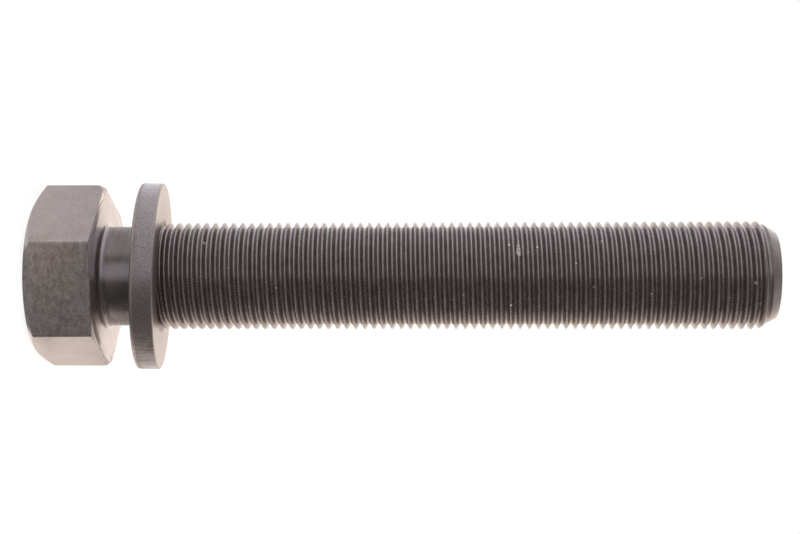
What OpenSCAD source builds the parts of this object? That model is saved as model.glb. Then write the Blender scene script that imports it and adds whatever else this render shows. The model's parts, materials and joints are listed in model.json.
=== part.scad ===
// Hexagon bolt with a fine thread and a captive washer.
// Millimetres. The bolt stands on its head: +Z runs along the shank from the head to the tip,
// and the origin is the centre of the head's top face.

/* [Head] */
// Width across the flats of the hexagon
flats_w = 26.4; // [24:0.1:32]
// Depth to which the corners of the hexagon are rounded off
corner_cut = 0.05; // [0.01:0.01:0.6]
// Height of the head, from its top face to the bearing face
head_h = 11; // [8:0.1:16]
// Inset of the top face's flat circle from the flats, inside the crown chamfer
crown_inset = 0.3; // [0.1:0.05:2]
// Slope of the crown chamfer, measured from the top face
crown_angle = 30; // [15:1:40]
// Chamfer of the hexagon's corners on the shank's side
heel_chamfer = 0.6; // [0.2:0.1:1.2]
// Inset of the round bearing collar from the flats
collar_inset = 0.3; // [0.1:0.05:2]
// Height of the bearing collar
collar_h = 0.35; // [0.25:0.05:0.8]
// Height of the collar's upright wall, below its bevel
collar_rim = 0.2; // [0.1:0.05:0.25]
// Width of the collar's bevel
collar_bevel = 0.9; // [0.2:0.1:1.5]
// Radius of the fillet between the bearing face and the neck
neck_fillet = 0.8; // [0.4:0.1:1.2]

/* [Shank] */
// Length of the shank, from the bearing face to the tip
shank_l = 109.6; // [60:0.1:160]
// Diameter over the crests of the thread
thread_d = 17.65; // [15:0.05:20]
// Pitch of the thread
pitch = 1.5; // [1:0.25:2]
// Depth of the thread, from its crests to its roots
thread_depth = 0.86; // [0.6:0.02:1]
// Width of the flat on each crest
crest_w = 0.19; // [0.1:0.01:0.3]
// Angle between the two flanks of a ridge
flank_angle = 60; // [50:1:60]
// Step from the crests down to the plain neck, which traps the washer
neck_step = 0.62; // [0.4:0.02:0.9]
// Diameter of the flat end of the tip
tip_d = 14.1; // [10:0.1:15]
// Length of the tip's chamfer
tip_l = 3; // [1:0.1:5]
// Length of the plain neck, from the bearing face to the thread
neck_l = 9.75; // [6:0.05:20]

/* [Washer] */
// Reach of the washer past the head's corners
washer_reach = 0.2; // [0:0.1:4]
// Thickness of the washer
washer_t = 3.75; // [2:0.05:6]
// Gap on the axis between the washer's face and the thread
washer_gap = 0.7; // [0.6:0.05:4]
// Angle at which the loose washer leans
washer_lean = 4.8; // [0:0.1:5]
// Direction of the washer's high side, counted from +X towards +Y
lean_turn = 243; // [0:1:360]
// Clearance between the washer's bore and the neck, on the radius
bore_clearance = 0.3; // [0.1:0.05:0.35]
// Room between the bore's chamfer and the fillet under the head
fillet_room = 0.1; // [0.05:0.05:0.3]
// Chamfer of the washer's bore on the thread's side
lead_chamfer = 0.9; // [0.6:0.1:2]
// Rounding of the washer's outer edges
rim_round = 0.35; // [0.1:0.05:0.6]

/* [Hidden] */
$fn = 96;

steel = [0.36, 0.33, 0.32];
washer_steel = [0.42, 0.39, 0.37];

corners_d = flats_w / cos(30) - 2 * corner_cut;
crown_d = flats_w - 2 * crown_inset;
collar_d = flats_w - 2 * collar_inset;
hex_h = head_h - collar_h;
tip_z = head_h + shank_l;
neck_r = thread_d / 2 - neck_step;
thread_z = head_h + neck_l;

// A ridge of the thread: two flanks and a crest flat
root_r = thread_d / 2 - thread_depth;
flank_w = thread_depth * tan(flank_angle / 2);
ridge_w = 2 * flank_w + crest_w;
ridges = ceil((tip_z - thread_z) / pitch);

washer_d = corners_d + 2 * washer_reach;
washer_z = thread_z - washer_gap - washer_t / 2;
bore_r = neck_r + bore_clearance;
fillet_chamfer = neck_fillet - bore_clearance + fillet_room;

// The hexagon with its corners rounded off and both ends chamfered, the crown all round and the heel at the corners
module hexagon() {
    chamfer_r = corners_d / 2 - crown_d / 2;
    chamfer_h = chamfer_r * tan(crown_angle);
    intersection() {
        linear_extrude(hex_h) circle(d = flats_w / cos(30), $fn = 6);
        rotate_extrude() polygon([
            [0, 0], [crown_d / 2, 0], [corners_d / 2, chamfer_h],
            [corners_d / 2, hex_h - heel_chamfer], [corners_d / 2 - heel_chamfer, hex_h], [0, hex_h]
        ]);
    }
}

// Half section of the bearing collar, the neck and the fillet between them
module neck_section() {
    polygon([
        [0, hex_h - collar_h], [collar_d / 2, hex_h - collar_h], [collar_d / 2, hex_h + collar_rim],
        [collar_d / 2 - collar_bevel, head_h], [0, head_h]
    ]);
    translate([0, head_h - collar_h]) square([neck_r, neck_l + collar_h]);
    difference() {
        translate([0, head_h - collar_h]) square([neck_r + neck_fillet, neck_fillet + collar_h]);
        translate([neck_r + neck_fillet, head_h + neck_fillet]) circle(neck_fillet);
    }
}

// Half section of the thread: ridges and grooves at the true pitch and flank angle, each one a ring without lead
module thread_section() {
    intersection() {
        polygon([
            [0, thread_z],
            for (i = [0 : ridges - 1], p = [
                [root_r, 0], [thread_d / 2, flank_w], [thread_d / 2, flank_w + crest_w], [root_r, ridge_w]
            ]) [p[0], thread_z + i * pitch + p[1]],
            [0, thread_z + (ridges - 1) * pitch + ridge_w]
        ]);
        polygon([
            [0, thread_z], [thread_d / 2, thread_z], [thread_d / 2, tip_z - tip_l], [tip_d / 2, tip_z], [0, tip_z]
        ]);
    }
}

module bolt() {
    color(steel) {
        hexagon();
        rotate_extrude() {
            neck_section();
            thread_section();
        }
    }
}

// Half section of the washer: rounded rim, and a bore chamfered to clear the fillet under the head
module washer_section() {
    round_r = washer_d / 2 - rim_round;
    difference() {
        union() {
            translate([bore_r, 0]) square([round_r - bore_r, washer_t]);
            translate([round_r, rim_round]) square([rim_round, washer_t - 2 * rim_round]);
            for (z = [rim_round, washer_t - rim_round]) translate([round_r, z]) circle(rim_round);
        }
        for (end = [[0, fillet_chamfer], [washer_t, lead_chamfer]])
            translate([bore_r, end[0]]) rotate(45) square(end[1] * sqrt(2), center = true);
    }
}

// The washer hangs loose near the thread's end of the neck and leans about its own middle
module captive_washer() {
    color(washer_steel)
        translate([0, 0, washer_z])
            rotate([0, -washer_lean, lean_turn])
                translate([0, 0, -washer_t / 2])
                    rotate_extrude() washer_section();
}

bolt();
captive_washer();
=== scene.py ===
import json
import math

import bpy
import numpy as np
from mathutils import Matrix, Vector


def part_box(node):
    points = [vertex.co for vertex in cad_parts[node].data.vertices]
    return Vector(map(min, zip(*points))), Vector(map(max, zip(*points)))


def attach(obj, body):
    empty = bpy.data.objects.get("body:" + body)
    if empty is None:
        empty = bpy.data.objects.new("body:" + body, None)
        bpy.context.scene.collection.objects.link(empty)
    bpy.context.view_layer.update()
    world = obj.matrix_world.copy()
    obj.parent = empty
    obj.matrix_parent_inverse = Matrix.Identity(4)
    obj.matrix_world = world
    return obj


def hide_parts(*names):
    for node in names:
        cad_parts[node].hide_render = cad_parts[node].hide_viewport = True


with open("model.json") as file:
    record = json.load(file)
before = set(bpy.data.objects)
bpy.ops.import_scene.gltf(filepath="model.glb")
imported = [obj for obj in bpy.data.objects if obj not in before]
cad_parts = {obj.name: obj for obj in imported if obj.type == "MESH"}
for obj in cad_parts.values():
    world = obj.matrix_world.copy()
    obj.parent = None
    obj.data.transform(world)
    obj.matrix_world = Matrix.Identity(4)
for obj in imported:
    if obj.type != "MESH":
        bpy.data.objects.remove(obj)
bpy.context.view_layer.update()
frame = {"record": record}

# Sizes in metres. The outer sizes come from the frame, and the rest are named here.
MM = 0.001
TURN = 2 * math.pi
mounts = {mount["name"]: mount for mount in frame["record"]["mounts"]}
bolt_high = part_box("bolt")[1]

# Where the camera stands round the bolt
camera_turn = math.radians(260.8)

# Hexagon: its sides, the angle that each takes up, and the direction of the flat in front
SIDES = 6
SIDE_TURN = TURN / 6
HALF_SIDE = TURN / 12
front_turn = math.radians(270)

# Head
corners_r = bolt_high.x
flats_r = bolt_high.y
corner_round = (flats_r / math.cos(HALF_SIDE) - corners_r) / (1 / math.cos(HALF_SIDE) - 1)
head_h = 11 * MM
crown_inset = 0.3 * MM
crown_r = flats_r - crown_inset
crown_slope = math.radians(30)
top_border = 1.2 * MM
heel_round = 0.1 * MM
heel_worn = 1.1 * MM
heel_reach = math.radians(3)
# Reach of the lightened corner columns: partly wear, partly painted highlight down the corners
wear_and_sheen_reach = math.radians(2)
collar_inset = 0.3 * MM
collar_r = flats_r - collar_inset
collar_h = 0.15 * MM
collar_rim = 0.08 * MM
collar_bevel = 0.9 * MM
neck_fillet = 0.8 * MM
hex_h = head_h - collar_h

# Shank. The thread fades in from fade_z to full_z, and the neck is joined to its strip at join_z.
crest_r = mounts["thread"]["dims"]["r_mm"] * MM
pitch = 1.5 * MM
crest_z = 59.308 * MM  # height of one crest on the camera's side
thread_depth = 0.86 * MM
crest_w = 0.19 * MM
flank_slope = math.radians(30)
flank_w = thread_depth * math.tan(flank_slope)
root_r = crest_r - thread_depth
neck_step = 0.62 * MM
neck_r = crest_r - neck_step
neck_l = 9.75 * MM
thread_z = head_h + neck_l
fade_z = thread_z - 0.85 * MM
full_z = thread_z + 0.25 * MM
join_z = thread_z - 4 * MM

# Tip. The thread's strip ends below strip_z, and a smooth rim goes on from rim_z to the end.
tip_z = bolt_high.z
tip_r = 7.05 * MM
tip_l = 3 * MM
tip_bow = 0.15
strip_z = tip_z - 0.3 * MM
rim_z = tip_z - 0.25 * MM
rim_round = 0.12 * MM
end_border = 1.5 * MM

# Washer
washer_reach = 0.2 * MM
washer_r = corners_r + washer_reach
washer_t = 3.75 * MM
washer_gap = 0.7 * MM
washer_z = thread_z - washer_gap - washer_t / 2
washer_lean = math.radians(4.8)
lean_turn = math.radians(243)
bore_clearance = 0.3 * MM
bore_r = neck_r + bore_clearance
fillet_chamfer = 0.6 * MM
lead_chamfer = 0.9 * MM
bore_round = 0.12 * MM
head_side_round = 0.75 * MM
thread_side_round = 0.4 * MM

# Dent in one crest: full from dent_turn to dent_full past it, and gone at dent_up and dent_down
dent_turn = camera_turn - math.radians(28)
dent_full = math.radians(1)
dent_up = math.radians(9.5)
dent_down = math.radians(-7)
dent_z = 78.69 * MM
dent_depth = 0.5 * MM

# Marks on the thread: angle in degrees from the camera's side, height in mm, size in mm
DUST = [
    (39.7, 28, 0.24), (34.3, 77.2, 0.26), (-32.7, 77.5, 0.2), (25.2, 80.2, 0.14),
    (31.1, 81.7, 0.22), (52.1, 84.5, 0.2), (39.3, 92, 0.2), (13, 87.8, 0.15),
]
FAINT_DUST = [
    (8.5, 32.3, 0.22), (-12.9, 39.9, 0.22), (-20.2, 69.9, 0.2), (8.4, 75.7, 0.16),
    (-12.2, 90.6, 0.2), (-20, 99.7, 0.2), (-2.9, 107.6, 0.26), (-24.2, 112.1, 0.2),
    (-8.1, 116.1, 0.34), (-35, 117.2, 0.2),
]
NICK = [
    (40, 78.7, 0.14), (37, 78.7, 0.2), (34, 78.7, 0.28), (31, 78.7, 0.38),
    (28, 78.7, 0.46), (25, 78.7, 0.46), (22.5, 78.8, 0.3),
]
NICK_CORE = [(31.5, 78.7, 0.12), (29, 78.7, 0.18), (26.8, 78.7, 0.18)]

# Points round the bolt and round the washer
COLUMNS = 96
WASHER_COLUMNS = 144

# Numbers of two corners in the head's profile, and of the rim's corners in the washer's section
CROWN_EDGE = 2
HEEL_EDGE = 3
RIM_EDGES = (3, 4)

# Numbers of the bolt's materials
HEAD = 0
NECK = 1
THREAD = 2

# Span in which nearly all values of a noise lie
NOISE_SPAN = (0.3, 0.7)

# Studio cards, in mm: the lift above the floor, the outer edges of the rings and the wall behind them
CARD_LIFT = 0.3
CROWN_OUT = 16.5
HEAD_OUT = 58
NECK_OUT = 88
WASHER_OUT = 132
WALL = 900


def softened(corners, cuts, steps):
    """Rows of points along a folded line whose inner corners are rounded.

    Each corner is an array of (radius, height) for every column. A corner B between A and C gives a row
    on BA and one on BC, guard cuts away, and between them a curve:
    (1-s)^2 (B + cut BA) + 2s(1-s) B + s^2 (B + cut BC), with BA and BC of length 1.
    Returns the rows, and for each row the number of its corner.
    """
    guard = 1.7
    rows = [corners[0]]
    owners = [0]
    for k in range(1, len(corners) - 1):
        before = corners[k - 1] - corners[k]
        after = corners[k + 1] - corners[k]
        cut = np.broadcast_to(cuts[k - 1], corners[k].shape[:1])[:, None]
        before = cut * before / np.linalg.norm(before, axis=1, keepdims=True)
        after = cut * after / np.linalg.norm(after, axis=1, keepdims=True)
        rows.append(corners[k] + guard * before)
        for s in np.linspace(0, 1, steps[k - 1] + 1):
            rows.append(corners[k] + (1 - s) ** 2 * before + s**2 * after)
        rows.append(corners[k] + guard * after)
        owners += [k] * (steps[k - 1] + 3)
    rows.append(corners[-1])
    owners.append(len(corners) - 1)
    return np.array(rows), np.array(owners)


def ring_quads(first, rows, columns, closed=False):
    """Quads between neighbouring rings of points; if closed, the last ring is joined to the first as well."""
    row = np.arange(rows if closed else rows - 1)[:, None]
    column = np.arange(columns)[None, :]
    after = (column + 1) % columns
    above = (row + 1) % rows
    lower = (row * columns + column, row * columns + after)
    upper = (above * columns + after, above * columns + column)
    return first + np.stack(np.broadcast_arrays(*lower, *upper), axis=-1).reshape(-1, 4)


def round_points(radius, angle, height):
    """Points at a radius, an angle about the bolt's axis and a height."""
    points = np.broadcast_arrays(radius * np.cos(angle), radius * np.sin(angle), height)
    return np.stack(points, axis=-1).reshape(-1, 3)


def new_piece(name, points, faces, materials, face_material=None, wear_and_sheen=None):
    """A smooth-shaded mesh object at the origin, with a material number per face and, per point, an edge mask
    that is partly wear and partly painted highlight.
    """
    mesh = bpy.data.meshes.new(name)
    mesh.from_pydata(points.tolist(), [], faces)
    mesh.polygons.foreach_set("use_smooth", np.ones(len(faces), bool))
    for material in materials:
        mesh.materials.append(material)
    if face_material is not None:
        mesh.polygons.foreach_set("material_index", face_material)
    if wear_and_sheen is not None:
        mesh.attributes.new("wear_and_sheen", "FLOAT", "POINT").data.foreach_set("value", wear_and_sheen.astype(np.float32))
    mesh.update()
    piece = bpy.data.objects.new(name, mesh)
    bpy.context.scene.collection.objects.link(piece)
    return piece


def hexagon_radius(angle):
    """Radius of the hexagon at an angle, with corners at 0, 60, 120 degrees and so on.

    Along a flat it is the flat's distance over the cosine of the angle from the flat's middle. Near a
    corner it is where the ray leaves a circle of the corner's rounding, whose centre lies on the line to
    the corner.
    """
    turn = np.abs((angle + HALF_SIDE) % SIDE_TURN - HALF_SIDE)
    flat = flats_r / np.cos(HALF_SIDE - turn)
    centre = (flats_r - corner_round) / math.cos(HALF_SIDE)
    inside = np.maximum(corner_round**2 - (centre * np.sin(turn)) ** 2, 0)
    rounded = centre * np.cos(turn) + np.sqrt(inside)
    tangent = math.atan2(corner_round / 2, centre + corner_round * math.cos(HALF_SIDE))
    return np.where(turn < tangent, rounded, flat)


def ridge_height(offset):
    """Share of the thread's depth at a distance from the crest's middle along the axis.

    A trapezoid with a flat crest, straight flanks and a flat root, clamped to 0 and 1 by half of
    sqrt(u^2 + e^2) - sqrt((u - 1)^2 + e^2) + 1, so that its corners are eased by e.
    """
    ease = 0.05
    u = (crest_w / 2 + flank_w - np.abs(offset)) / flank_w
    return (np.sqrt(u**2 + ease**2) - np.sqrt((u - 1) ** 2 + ease**2) + 1) / 2


def smooth_step(start, end, value):
    """0 before start, 1 after end, and 3t^2 - 2t^3 between them; start may be the larger one."""
    t = np.clip((value - start) / (end - start), 0, 1)
    return t * t * (3 - 2 * t)


def bolt_head(even, drawn):
    """Points, row owners and edge mask (partly wear, partly painted highlight) of the head and neck: a folded
    profile turned about the axis.

    The hexagon's columns are drawn towards its corners. The crown's chamfer meets each column of the
    hexagon where the cone's radius equals the hexagon's, so the chamfer's edge is the true curve on every
    flat. The heel's edge is crisp in front, and the other corners are rounded off there, most at the
    corner itself: by exp(-(angle from the corner / reach)^2).
    """
    hex_r = hexagon_radius(drawn)
    crown_z = (hex_r - crown_r) * math.tan(crown_slope)
    line = [
        (crown_r - top_border, 0),
        (crown_r, 0),
        (hex_r, crown_z),
        (hex_r, hex_h),
        (collar_r, hex_h),
        (collar_r, hex_h + collar_rim),
        (collar_r - collar_bevel, head_h),
        (neck_r, head_h),
        (neck_r, join_z),
    ]
    corners = [np.stack(np.broadcast_arrays(r, z, even)[:2], axis=-1) for r, z in line]
    from_corner = (drawn + HALF_SIDE) % SIDE_TURN - HALF_SIDE
    front = smooth_step(0.2, 0.5, np.cos(drawn - front_turn))
    heel_cut = heel_round + heel_worn * np.exp(-((from_corner / heel_reach) ** 2)) * (1 - front)
    # Roundings of the line's inner corners, and the steps that each one takes
    cuts = [0.15 * MM, 0.08 * MM, heel_cut, 0.02 * MM, 0.02 * MM, 0.15 * MM, neck_fillet]
    rows, owners = softened(corners, cuts, [2, 2, 4, 2, 2, 2, 6])
    in_hexagon = (owners <= HEEL_EDGE)[:, None]
    angle = np.where(in_hexagon, drawn, even)
    # Edge mask on the crown's and heel's edges and down the corners: partly wear, partly painted highlight
    # along the edges
    edge_row = np.isin(owners, (CROWN_EDGE, HEEL_EDGE))[:, None] * 0.5
    corner_column = np.exp(-((from_corner / wear_and_sheen_reach) ** 2))
    wear_and_sheen = np.where(in_hexagon, np.maximum(edge_row, corner_column[None, :]), 0)
    return round_points(rows[..., 0], angle, rows[..., 1]), owners, wear_and_sheen.ravel()


def tip_cone(height):
    """Radius of the tip's chamfer at a height.

    With s the share of the chamfer's length above that height, the end's radius plus s + bow s (1 - s)
    times the step up to the crests: a straight line bowed out a little. Past 1.5 the share is held.
    """
    share = np.minimum((tip_z - height) / tip_l, 1.5)
    return tip_r + (crest_r - tip_r) * (share + tip_bow * share * (1 - share))


def thread_radius(angle, offset, height):
    """Radius of the thread at an angle, an offset from its crest and a height.

    The root's radius plus the depth times the ridge's share. The first turn fades in from the neck's
    radius, a dent flattens one crest, and the tip's chamfer cuts off what stands outside its cone.
    """
    radius = root_r + thread_depth * ridge_height(offset)
    radius = neck_r + (radius - neck_r) * smooth_step(fade_z, full_z, height)
    along = (dent_turn - angle + TURN / 2) % TURN - TURN / 2
    depth = smooth_step(dent_up, dent_full, along) * smooth_step(dent_down, 0, along)
    near = np.abs(height - dent_z) < pitch / 2
    radius = np.minimum(radius, np.where(near, crest_r - dent_depth * depth, crest_r))
    return np.minimum(radius, tip_cone(height))


def make_bolt(materials):
    """The bolt as one closed mesh: head and neck, helical thread, tip.

    The thread is a strip wound on the helix: point (i, j) stands at angle 2 pi i / COLUMNS and at the
    height of the crest there plus the ridge's offset j, and each turn's last row joins the next turn's
    first. The ends of the strip are joined to level rings by quads and one many-sided face along the
    strip's end. The head's columns are drawn to the hexagon's corners by draw sin(6 angle) / 6.
    """
    draw = 0.94
    even = np.arange(COLUMNS) * TURN / COLUMNS
    drawn = even - draw * np.sin(SIDES * even) / SIDES
    head, owners, head_wear_and_sheen = bolt_head(even, drawn)
    head_rows = len(owners)

    # Rows of the strip, from one root over the crest to the next: distances from the crest's middle
    offsets = np.array([-0.75, -0.64, -0.55, -0.345, -0.14, -0.05, 0.05, 0.14, 0.345, 0.55, 0.64]) * MM
    samples = len(offsets)
    first_crest = crest_z - pitch * camera_turn / TURN
    first_crest += pitch * math.floor((fade_z - pitch / 2 - first_crest) / pitch)
    last = int((strip_z - pitch - first_crest + pitch / 2) / pitch * COLUMNS)
    step = np.arange(last + COLUMNS + 1)[:, None]
    height = first_crest + pitch * step / COLUMNS + offsets[None, :]
    angle = np.broadcast_to(TURN * step / COLUMNS, height.shape)
    radius = thread_radius(angle, offsets[None, :], height)
    strip = round_points(radius, angle, height).reshape(-1, samples, 3)
    thread = strip[: last + 1].reshape(-1, 3)
    seam = strip[last + 1 :, 0]

    end = [(tip_cone(rim_z), rim_z), (tip_r, tip_z), (tip_r - end_border, tip_z)]
    tip, _ = softened([np.tile(p, (COLUMNS, 1)) for p in end], [rim_round], [3])
    tip_points = round_points(tip[..., 0], even, tip[..., 1])

    thread_first = len(head)
    seam_first = thread_first + len(thread)
    tip_first = seam_first + len(seam)

    def strip_point(i, j=0):
        """Number of the strip's point j in column i; past the last full column there is only j = 0."""
        return np.where(i <= last, thread_first + i * samples + j, seam_first + i - last - 1)

    i = np.arange(last)[:, None]
    j = np.arange(samples)[None, :]
    wraps = j == samples - 1
    lower_left = thread_first + i * samples + j
    lower_right = lower_left + samples
    upper_left = np.where(wraps, strip_point(i + COLUMNS), lower_left + 1)
    upper_right = np.where(wraps, strip_point(i + 1 + COLUMNS), lower_right + 1)
    quads = np.stack([lower_left, lower_right, upper_right, upper_left], axis=-1).reshape(-1, 4)

    ring = np.arange(COLUMNS)
    neck_ring = (head_rows - 1) * COLUMNS + ring
    neck_next = np.roll(neck_ring, -1)
    joins = np.stack([neck_ring, neck_next, strip_point(ring + 1), strip_point(ring)], axis=-1)
    start_cut = thread_first + np.arange(samples)
    start_face = [neck_ring[-1], neck_ring[0], *start_cut, strip_point(COLUMNS), strip_point(COLUMNS - 1)]
    top = last + ring
    tip_ring = tip_first + top % COLUMNS
    tip_next = tip_first + (top + 1) % COLUMNS
    tops = np.stack([strip_point(top), strip_point(top + 1), tip_next, tip_ring], axis=-1)
    end_cut = thread_first + last * samples + np.arange(samples - 1, 0, -1)
    end_face = [*tops[0], strip_point(last + COLUMNS), *end_cut]

    head_quads = ring_quads(0, head_rows, COLUMNS)
    tip_quads = ring_quads(tip_first, len(tip), COLUMNS)
    top_cap = ring[::-1]
    tip_cap = tip_first + (len(tip) - 1) * COLUMNS + ring
    many_sided = [[int(v) for v in face] for face in (top_cap, start_face, end_face, tip_cap)]
    groups = [
        (head_quads.tolist(), np.repeat(np.where(owners[1:] <= HEEL_EDGE, HEAD, NECK), COLUMNS)),
        (quads.tolist(), np.where(height[:last].ravel() < fade_z, NECK, THREAD)),
        (joins[:-1].tolist(), NECK),
        (tops[1:].tolist(), THREAD),
        (tip_quads.tolist(), THREAD),
        (many_sided, [HEAD, NECK, THREAD, THREAD]),
    ]
    faces = [face for group, _ in groups for face in group]
    face_material = np.concatenate([np.broadcast_to(number, len(group)) for group, number in groups])
    points = np.concatenate([head, thread, seam, tip_points])
    wear_and_sheen = np.zeros(len(points))
    wear_and_sheen[: len(head_wear_and_sheen)] = head_wear_and_sheen
    return new_piece("bolt_body", points, faces, materials, face_material.astype(np.int32), wear_and_sheen)


def make_washer(material):
    """The washer: a closed section with a rounded rim and a chamfered bore, turned about the axis and leaned.

    The rim is rounded more on the head's side. The lean turns every point about the washer's middle: about
    the Y axis first, which lifts the +X side, and then about the bolt's axis to the side that stands high.
    """
    half = washer_t / 2
    line = [
        (bore_r, 0),
        (bore_r, fillet_chamfer - half),
        (bore_r + fillet_chamfer, -half),
        (washer_r, -half),
        (washer_r, half),
        (bore_r + lead_chamfer, half),
        (bore_r, half - lead_chamfer),
        (bore_r, 0),
    ]
    corners = [np.tile(p, (WASHER_COLUMNS, 1)) for p in line]
    # Roundings of the line's inner corners, and the steps that each one takes
    cuts = [bore_round, bore_round, head_side_round, thread_side_round, bore_round, bore_round]
    rows, owners = softened(corners, cuts, [2, 2, 6, 5, 2, 2])
    rows = rows[:-1]
    angle = np.arange(WASHER_COLUMNS) * TURN / WASHER_COLUMNS
    leaned = Matrix.Rotation(lean_turn, 3, "Z") @ Matrix.Rotation(-washer_lean, 3, "Y")
    points = round_points(rows[..., 0], angle, rows[..., 1]) @ np.array(leaned).T + (0, 0, washer_z)
    quads = ring_quads(0, len(rows), WASHER_COLUMNS, closed=True)
    # Rim edges marked for lightening: partly wear, partly painted highlight
    wear_and_sheen = np.repeat(np.isin(owners[:-1], RIM_EDGES), WASHER_COLUMNS)
    return new_piece("washer_body", points, quads.tolist(), [material], wear_and_sheen=wear_and_sheen)


def add(tree, kind, inputs=None, **settings):
    """A shader node. Settings go on the node; inputs are set by value or linked from another node."""
    node = tree.nodes.new(kind)
    for key, value in settings.items():
        setattr(node, key, value)
    for key, value in (inputs or {}).items():
        if isinstance(value, bpy.types.NodeSocket):
            tree.links.new(value, node.inputs[key])
        else:
            node.inputs[key].default_value = value
    return node


def metal(name, bare=0.88):
    """A new metal with a thin dull skin: its material, tree, main shader and Object coordinates."""
    material = bpy.data.materials.new(name)
    material.use_nodes = True
    tree = material.node_tree
    surface = tree.nodes["Principled BSDF"]
    surface.inputs["Metallic"].default_value = bare
    place = add(tree, "ShaderNodeTexCoord").outputs["Object"]
    return material, tree, surface, place


def noise(tree, place, size, stretch=(1, 1, 1), detail=3.0, rough=0.55):
    """Noise whose features are about size metres across, stretched along the axes; returns its value."""
    scale = add(tree, "ShaderNodeMapping", {"Vector": place, "Scale": [1 / (size * s) for s in stretch]})
    inputs = {"Vector": scale.outputs["Vector"], "Scale": 1.0, "Detail": detail, "Roughness": rough}
    return add(tree, "ShaderNodeTexNoise", inputs).outputs["Fac"]


def spread(tree, value, low, high, to_low, to_high):
    """value carried from the span low..high to the span to_low..to_high, held at its ends."""
    inputs = {"Value": value, "From Min": low, "From Max": high, "To Min": to_low, "To Max": to_high}
    return add(tree, "ShaderNodeMapRange", inputs).outputs["Result"]


def math_node(tree, operation, a, b):
    """a and b joined by one operation, such as ADD, MULTIPLY or MAXIMUM."""
    return add(tree, "ShaderNodeMath", {0: a, 1: b}, operation=operation).outputs[0]


def vector_node(tree, operation, inputs, output="Vector"):
    """Vectors joined by one operation, such as ADD or NORMALIZE; LENGTH and DISTANCE give a Value."""
    return add(tree, "ShaderNodeVectorMath", inputs, operation=operation).outputs[output]


def blended(tree, share, a, b):
    """Colour a where share is 0 and colour b where it is 1."""
    return add(tree, "ShaderNodeMix", {0: share, 6: a, 7: b}, data_type="RGBA").outputs[2]


def bumped(tree, surface, height, distance):
    """Sets the shader's normal from a height."""
    inputs = {"Height": height, "Distance": distance, "Strength": 1.0}
    tree.links.new(add(tree, "ShaderNodeBump", inputs).outputs["Normal"], surface.inputs["Normal"])


def marked(tree, place, marks):
    """1 on the marks and 0 elsewhere: each fades out at its size from its point on the crests' cylinder."""
    shares = []
    for degrees, height, size in marks:
        turn = camera_turn - math.radians(degrees)
        point = (crest_r * math.cos(turn), crest_r * math.sin(turn), height * MM)
        away = vector_node(tree, "DISTANCE", {0: place, 1: point}, "Value")
        shares.append(spread(tree, away, size * MM, 0.5 * size * MM, 0, 1))
    total = shares[0]
    for share in shares[1:]:
        total = math_node(tree, "MAXIMUM", total, share)
    return total


def wear_and_sheen_of(tree):
    """The piece's edge mask, from 0 on its flats to 1 on its edges: partly wear, partly painted highlight
    along the edges.
    """
    return add(tree, "ShaderNodeAttribute", attribute_name="wear_and_sheen").outputs["Fac"]


def head_steel():
    """Forged head: mottled, fine-grained dark steel, blotched on the front flat, and lighter on its edges and
    corners, partly from wear and partly as painted highlight.
    """
    material, tree, surface, place = metal("head_steel")
    mottle = noise(tree, place, 2.6 * MM, detail=4.0)
    grain = noise(tree, place, 0.26 * MM, detail=2.0, rough=0.6)
    streaks = noise(tree, place, 0.3 * MM, stretch=(4, 4, 1), detail=2.0)
    mottled = spread(tree, mottle, *NOISE_SPAN, 0, 0.45)
    grained = spread(tree, grain, *NOISE_SPAN, 0, 0.25)
    streaked = spread(tree, streaks, *NOISE_SPAN, 0, 0.3)
    tone = math_node(tree, "ADD", mottled, grained)
    tone = math_node(tree, "ADD", tone, streaked)
    colour = blended(tree, tone, (0.285, 0.242, 0.235, 1), (0.42, 0.361, 0.35, 1))
    depth = add(tree, "ShaderNodeSeparateXYZ", {"Vector": place}).outputs["Y"]
    front = spread(tree, depth, 0.5 * MM - flats_r, 0.1 * MM - flats_r, 0, 1)
    blotch = noise(tree, place, 0.75 * MM, stretch=(1.5, 1, 1), rough=0.7)
    pale = math_node(tree, "MULTIPLY", front, spread(tree, blotch, 0.5, 0.62, 0, 0.6))
    dark = math_node(tree, "MULTIPLY", front, spread(tree, blotch, 0.5, 0.38, 0, 0.6))
    colour = blended(tree, pale, colour, (0.55, 0.473, 0.458, 1))
    colour = blended(tree, dark, colour, (0.17, 0.144, 0.14, 1))
    # Edges and corners lightened: partly wear, partly painted highlight
    worn_and_sheen = math_node(tree, "MULTIPLY", wear_and_sheen_of(tree), spread(tree, grain, 0.35, 0.6, 0.2, 0.8))
    colour = blended(tree, worn_and_sheen, colour, (0.5, 0.46, 0.445, 1))
    tree.links.new(colour, surface.inputs["Base Color"])
    tree.links.new(spread(tree, grain, *NOISE_SPAN, 0.26, 0.4), surface.inputs["Roughness"])
    bumped(tree, surface, grain, 0.075 * MM)
    return material


def neck_steel():
    """Plain neck, fillet and underside of the head: smooth steel with faint rings round it."""
    material, tree, surface, place = metal("neck_steel")
    rings = noise(tree, place, 0.35 * MM, stretch=(14, 14, 0.5), detail=2.0)
    stain = noise(tree, place, 3 * MM)
    stained = spread(tree, stain, 0.35, 0.65, 0, 1)
    colour = blended(tree, stained, (0.33, 0.288, 0.285, 1), (0.38, 0.332, 0.327, 1))
    tree.links.new(colour, surface.inputs["Base Color"])
    tree.links.new(spread(tree, rings, *NOISE_SPAN, 0.13, 0.2), surface.inputs["Roughness"])
    bumped(tree, surface, rings, 0.001 * MM)
    return material


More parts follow.
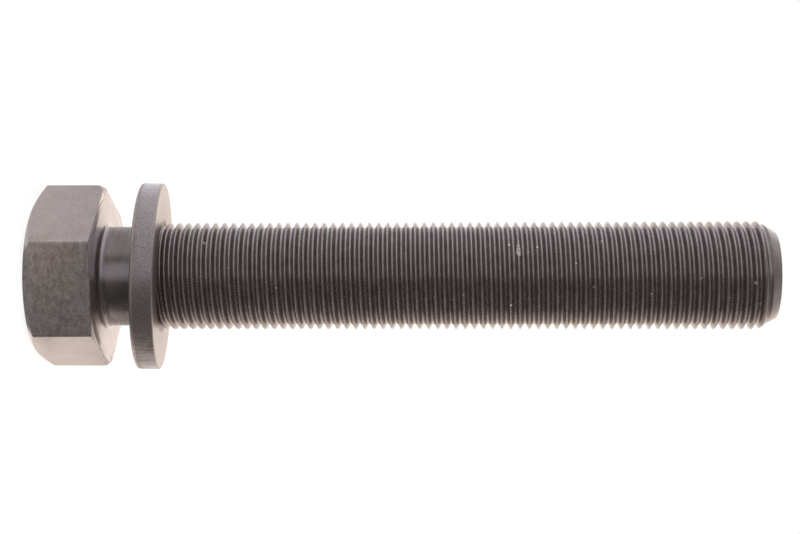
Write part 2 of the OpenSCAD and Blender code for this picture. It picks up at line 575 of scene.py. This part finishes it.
def thread_steel():
    """Rolled thread: darker on the flanks and lighter on crests and roots, told apart by the radius; partly
    stain and burnish, partly painted shade on the flanks and painted highlight along crests and roots.

    The nick and the dust lie on the crests' cylinder, so they read each point carried out to it, and they
    are dull, so the metal is nearly gone there.
    """
    bare = 0.84
    dusty = 0.1
    material, tree, surface, place = metal("thread_steel", bare)
    axes = add(tree, "ShaderNodeSeparateXYZ", {"Vector": place}).outputs
    flat = add(tree, "ShaderNodeCombineXYZ", {"X": axes["X"], "Y": axes["Y"]}).outputs["Vector"]
    radius = vector_node(tree, "LENGTH", {0: flat}, "Value")
    stain = noise(tree, place, 1.6 * MM, detail=4.0)
    fine = noise(tree, place, 0.25 * MM, detail=2.0)
    stained = spread(tree, stain, 0.35, 0.65, 0, 1)
    # Flank colour kept dark: partly stain, partly painted shade in the grooves
    flank = blended(tree, stained, (0.18, 0.143, 0.133, 1), (0.235, 0.19, 0.178, 1))
    # Crests and roots lightened by radius: partly burnish, partly painted highlight lines along them
    crest = spread(tree, radius, crest_r - 0.16 * MM, crest_r - 0.03 * MM, 0, 1)
    root = spread(tree, radius, root_r + 0.12 * MM, root_r + 0.03 * MM, 0, 1)
    burnish_and_highlight = math_node(tree, "MAXIMUM", crest, root)
    burnish_and_highlight = math_node(tree, "MULTIPLY", burnish_and_highlight, spread(tree, stain, 0.3, 0.65, 0.6, 1))
    colour = blended(tree, burnish_and_highlight, flank, (0.36, 0.315, 0.308, 1))
    around = vector_node(tree, "NORMALIZE", {0: flat})
    around = vector_node(tree, "SCALE", {0: around, "Scale": crest_r})
    level = add(tree, "ShaderNodeCombineXYZ", {"Z": axes["Z"]}).outputs["Vector"]
    carried_out = vector_node(tree, "ADD", {0: around, 1: level})
    nick = marked(tree, carried_out, NICK)
    nick_core = marked(tree, carried_out, NICK_CORE)
    dust = marked(tree, carried_out, DUST)
    faint = marked(tree, carried_out, FAINT_DUST)
    colour = blended(tree, nick, colour, (0.42, 0.395, 0.385, 1))
    colour = blended(tree, nick_core, colour, (0.17, 0.155, 0.15, 1))
    colour = blended(tree, faint, colour, (0.23, 0.21, 0.2, 1))
    colour = blended(tree, dust, colour, (0.55, 0.53, 0.51, 1))
    dull = math_node(tree, "MAXIMUM", nick, faint)
    dull = math_node(tree, "MAXIMUM", dull, dust)
    tree.links.new(spread(tree, dull, 0, 1, bare, dusty), surface.inputs["Metallic"])
    tree.links.new(colour, surface.inputs["Base Color"])
    tree.links.new(spread(tree, fine, *NOISE_SPAN, 0.2, 0.32), surface.inputs["Roughness"])
    bumped(tree, surface, fine, 0.005 * MM)
    return material


def washer_steel():
    """Punched washer: short upright shear marks on the rim, a scored patch on it, and lighter rim edges,
    partly from wear and partly as painted highlight.
    """
    material, tree, surface, place = metal("washer_steel")
    shear = noise(tree, place, 0.22 * MM, stretch=(1, 1, 5))
    grain = noise(tree, place, 0.22 * MM, detail=2.0)
    sheared = spread(tree, shear, *NOISE_SPAN, 0, 0.5)
    grained = spread(tree, grain, *NOISE_SPAN, 0, 0.5)
    tone = math_node(tree, "ADD", sheared, grained)
    colour = blended(tree, tone, (0.25, 0.203, 0.202, 1), (0.318, 0.259, 0.258, 1))
    # Rim edges lightened: partly wear, partly painted highlight
    worn_and_sheen = math_node(tree, "MULTIPLY", wear_and_sheen_of(tree), spread(tree, grain, 0.4, 0.6, 0.1, 0.6))
    colour = blended(tree, worn_and_sheen, colour, (0.5, 0.46, 0.44, 1))
    patch_turn = camera_turn + math.radians(52)
    patch_middle = (washer_r * math.cos(patch_turn), washer_r * math.sin(patch_turn), washer_z)
    away = vector_node(tree, "DISTANCE", {0: place, 1: patch_middle}, "Value")
    patch = spread(tree, away, 5 * MM, 2 * MM, 0, 0.6)
    scores = noise(tree, place, 0.3 * MM, stretch=(1, 1, 9), detail=1.0)
    scored = math_node(tree, "MULTIPLY", spread(tree, scores, 0.52, 0.6, 0, 1), patch)
    colour = blended(tree, scored, colour, (0.1, 0.08, 0.08, 1))
    tree.links.new(colour, surface.inputs["Base Color"])
    tree.links.new(spread(tree, shear, *NOISE_SPAN, 0.32, 0.38), surface.inputs["Roughness"])
    bumped(tree, surface, tone, 0.0008 * MM)
    return material


def grid_piece(name, points, uv, material):
    """An open sheet of the studio through a grid of points, with a UV map from the grid's two parameters."""
    rows, columns = points.shape[:2]
    number = np.arange(rows * columns).reshape(rows, columns)
    corners = [number[:-1, :-1], number[:-1, 1:], number[1:, 1:], number[1:, :-1]]
    quads = np.stack(corners, axis=-1).reshape(-1, 4)
    sheet = new_piece(name, points.reshape(-1, 3), quads.tolist(), [material])
    layer = sheet.data.uv_layers.new(name="UVMap")
    layer.uv.foreach_set("vector", uv.reshape(-1, 2)[quads.ravel()].ravel())
    return sheet


def studio_paint(name):
    """A new material whose main shader is taken out, with its tree and the socket for its surface."""
    material = bpy.data.materials.new(name)
    material.use_nodes = True
    tree = material.node_tree
    tree.nodes.remove(tree.nodes["Principled BSDF"])
    return material, tree, tree.nodes["Material Output"].inputs["Surface"]


def floor_paint():
    """Pale floor: white to the eye and in reflections, with a share of plain paint that takes the shadow."""
    material, tree, surface = studio_paint("pale_floor")
    path = add(tree, "ShaderNodeLightPath").outputs
    seen = math_node(tree, "MAXIMUM", path["Is Camera Ray"], path["Is Glossy Ray"])
    seen = math_node(tree, "MAXIMUM", seen, path["Is Transmission Ray"])
    share = math_node(tree, "MULTIPLY", seen, 0.8)
    paint = add(tree, "ShaderNodeBsdfDiffuse", {"Color": (0.95, 0.95, 0.95, 1)}).outputs[0]
    glow = add(tree, "ShaderNodeEmission", {"Color": (1, 1, 1, 1), "Strength": 1.08}).outputs[0]
    both = add(tree, "ShaderNodeMixShader", {0: share, 1: paint, 2: glow}).outputs[0]
    tree.links.new(both, surface)
    return material


def make_floor():
    """A level square sheet under the bolt."""
    width = 3.0
    across = np.linspace(-width / 2, width / 2, 9)
    x, y = np.meshgrid(across, across)
    uv = np.stack([x, y], axis=-1) / width + 0.5
    grid_piece("floor", np.stack([x, y, 0 * x], axis=-1), uv, floor_paint())


def card_paint(name, stops):
    """Studio card: its tone follows the turn round the bolt, which is the sheet's first parameter."""
    material, tree, surface = studio_paint(name)
    uv = add(tree, "ShaderNodeTexCoord").outputs["UV"]
    turn = add(tree, "ShaderNodeSeparateXYZ", {"Vector": uv}).outputs["X"]
    ramp = add(tree, "ShaderNodeValToRGB", {"Fac": turn})
    while len(ramp.color_ramp.elements) < len(stops):
        ramp.color_ramp.elements.new(1.0)
    first = stops[0][0]
    last = stops[-1][0]
    for element, (degrees, colour) in zip(ramp.color_ramp.elements, stops):
        element.position = (degrees - first) / (last - first)
        element.color = (*colour, 1)
    glow = add(tree, "ShaderNodeEmission", {"Color": ramp.outputs["Color"], "Strength": 1.0}).outputs[0]
    tree.links.new(glow, surface)
    return material


def make_card(name, line, stops):
    """A sheet that only reflections see: a line of (radius, height) turned about the bolt's axis.

    The angle counts from the camera's side towards the picture's top, from the first stop to the last.
    """
    steps = 73
    line = np.array(line) * MM
    shape = (steps, len(line))
    degrees = np.linspace(stops[0][0], stops[-1][0], steps)
    turn = camera_turn - np.radians(degrees)[:, None]
    points = round_points(line[:, 0], turn, line[:, 1]).reshape(*shape, 3)
    across = np.broadcast_to(np.linspace(0, 1, steps)[:, None], shape)
    along = np.broadcast_to(np.linspace(0, 1, len(line)), shape)
    card = grid_piece(name, points, np.stack([across, along], axis=-1), card_paint(name, stops))
    card.visible_camera = False
    card.visible_diffuse = False
    card.visible_shadow = False


def warm(level):
    """Light of a level, turned towards cream."""
    return (level, 0.9 * level, 0.81 * level)


def plain(level):
    """Light of a level, nearly neutral."""
    return (level, 0.97 * level, 0.96 * level)


def cool(level):
    """Light of a level, turned a little towards blue."""
    return (0.96 * level, level, 1.1 * level)


def make_cards():
    """What the metal mirrors: dark on the camera's side, white above, warm light below and behind.

    The head mirrors the floor close by, the neck a ring further out, then come the washer's ring and the
    thread's, and the tip and the edges of the crests mirror what stands high.
    """
    make_card(
        "crown_card",
        [(13, 0.02), (CROWN_OUT, 0.2)],
        [(-150, warm(1.6)), (-45, warm(1.6)), (-36, plain(0.33)), (17, plain(0.33)), (24, plain(1))],
    )
    make_card(
        "head_card",
        [(CROWN_OUT, CARD_LIFT), (HEAD_OUT, CARD_LIFT)],
        [
            (-180, warm(1.5)), (-100, warm(1.55)), (-62, plain(0.1)), (-42, plain(0.12)), (4, warm(0.48)),
            (40, warm(0.5)), (54, plain(0.97)), (120, plain(0.97)), (180, warm(1.4)),
        ],
    )
    make_card(
        "neck_card",
        [(HEAD_OUT, CARD_LIFT), (NECK_OUT, CARD_LIFT)],
        [
            (-180, warm(0.85)), (-116, warm(0.37)), (-92, warm(0.29)), (-81, plain(0.01)), (-16, plain(0.01)),
            (2, cool(0.49)), (24, cool(0.49)), (33, plain(0.08)), (41, plain(0.11)), (54, plain(0.35)),
            (110, plain(0.37)), (180, plain(0.9)),
        ],
    )
    make_card(
        "washer_card",
        [(NECK_OUT, CARD_LIFT), (WASHER_OUT, CARD_LIFT)],
        [
            (-180, plain(1.7)), (-150, plain(1.7)), (-118, plain(1.25)), (-94, plain(0.9)), (-75, warm(0.36)),
            (-50, warm(0.02)), (-30, warm(0.02)), (-6, plain(0.14)), (15, cool(0.27)), (45, cool(0.36)),
            (78, cool(0.63)), (100, cool(1.16)), (122, cool(1.85)), (180, cool(1.85)),
        ],
    )
    make_card(
        "thread_card",
        [(WASHER_OUT, CARD_LIFT), (300, CARD_LIFT), (WALL, CARD_LIFT), (WALL, 300), (WALL, WALL)],
        [
            (-180, warm(1.6)), (-140, warm(1.2)), (-112, warm(0.72)), (-88, plain(0.08)), (-12, plain(0.08)),
            (4, cool(0.52)), (24, cool(0.52)), (48, cool(0.65)), (80, cool(0.91)), (120, cool(1)),
            (150, plain(1.25)), (168, warm(1.6)), (180, warm(1.6)),
        ],
    )
    make_card(
        "high_card",
        [(WALL, WALL), (620, 1250), (320, 1450), (30, 1520)],
        [
            (-180, plain(0.9)), (-110, plain(0.63)), (-50, plain(0.26)), (0, plain(0.21)), (50, plain(0.27)),
            (110, plain(0.62)), (180, plain(0.9)),
        ],
    )


def make_lamp(name, degrees, distance, height, size, power, colour):
    """A square soft lamp at an angle from the camera's side towards the picture's top, aimed at the bolt."""
    lamp = bpy.data.lights.new(name, "AREA")
    lamp.size = size
    lamp.energy = power
    lamp.color = colour
    holder = bpy.data.objects.new(name, lamp)
    turn = camera_turn - math.radians(degrees)
    holder.location = (distance * math.cos(turn), distance * math.sin(turn), height)
    aim = Vector((0, 0, tip_z / 2)) - holder.location
    holder.rotation_mode = "QUATERNION"
    holder.rotation_quaternion = aim.to_track_quat("-Z", "Y")
    holder.visible_camera = False
    bpy.context.scene.collection.objects.link(holder)


def make_camera():
    """The photograph's view: the picture's right is the bolt's +Z, turned, tipped and rolled a little."""
    distance = 264.13 * MM
    height = 70.34 * MM
    yaw = math.radians(2.367)
    tip = math.radians(0.312)
    roll = math.radians(0.08)
    away = np.array([-math.cos(camera_turn), -math.sin(camera_turn), 0])
    upward = np.array([math.sin(camera_turn), -math.cos(camera_turn), 0])
    axis = np.array([0, 0, 1.0])
    level = math.cos(yaw) * away - math.sin(yaw) * axis
    side = math.cos(yaw) * axis + math.sin(yaw) * away
    forward = math.cos(tip) * level + math.sin(tip) * upward
    tipped = math.cos(tip) * upward - math.sin(tip) * level
    up = math.cos(roll) * tipped + math.sin(roll) * side
    right = math.cos(roll) * side - math.sin(roll) * tipped
    place = height * axis - distance * away
    data = bpy.data.cameras.new("camera")
    data.sensor_width = 36
    data.lens = 72.13
    data.clip_start = 0.01
    camera = bpy.data.objects.new("camera", data)
    turned = np.eye(4)
    turned[:3] = np.stack([right, up, -forward, place], axis=1)
    camera.matrix_world = Matrix(turned.tolist())
    bpy.context.scene.collection.objects.link(camera)
    bpy.context.scene.camera = camera


def make_room():
    """White surroundings at a plain level."""
    world = bpy.data.worlds.new("white_room")
    world.use_nodes = True
    background = world.node_tree.nodes["Background"].inputs
    background["Color"].default_value = (1, 1, 1, 1)
    background["Strength"].default_value = 1.0
    bpy.context.scene.world = world


bolt = make_bolt([head_steel(), neck_steel(), thread_steel()])
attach(bolt, "bolt")
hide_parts("bolt")

washer = make_washer(washer_steel())
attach(washer, "washer")
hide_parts("captive_washer")

make_floor()
make_cards()
make_lamp("warm_lamp", degrees=-135, distance=1.0, height=0.12, size=1.2, power=6.6, colour=(1.0, 0.92, 0.8))
make_camera()
make_room()
bpy.context.scene.view_settings.view_transform = "Standard"
